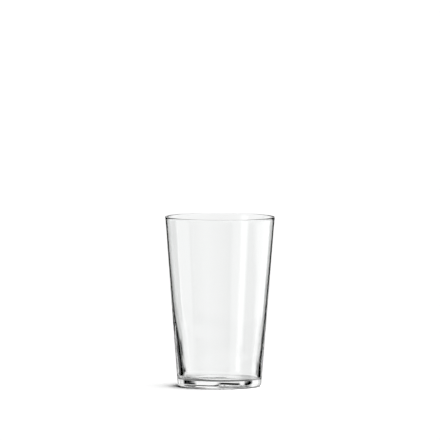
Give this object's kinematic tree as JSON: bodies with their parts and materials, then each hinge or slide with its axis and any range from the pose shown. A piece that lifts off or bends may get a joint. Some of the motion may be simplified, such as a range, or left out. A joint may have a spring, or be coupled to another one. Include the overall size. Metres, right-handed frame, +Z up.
{
  "type": "pint glass",
  "caption": "Straight-sided conical pint glass in clear glass, with a thin rounded lip and a heavy solid base, for serving cold drinks.",
  "frame": {"origin": "centre of the foot, on the surface that the glass stands on", "axes": "+Z up along the glass's axis, towards the open mouth; X and Y are free because the glass is round"},
  "size_m": [0.0878, 0.0878, 0.1356],
  "materials": {
    "clear_glass": "polished clear soda-lime glass with a fire-polished lip"
  },
  "bodies": {
    "root": {"glass_body": "clear_glass"}
  },
  "joints": []
}
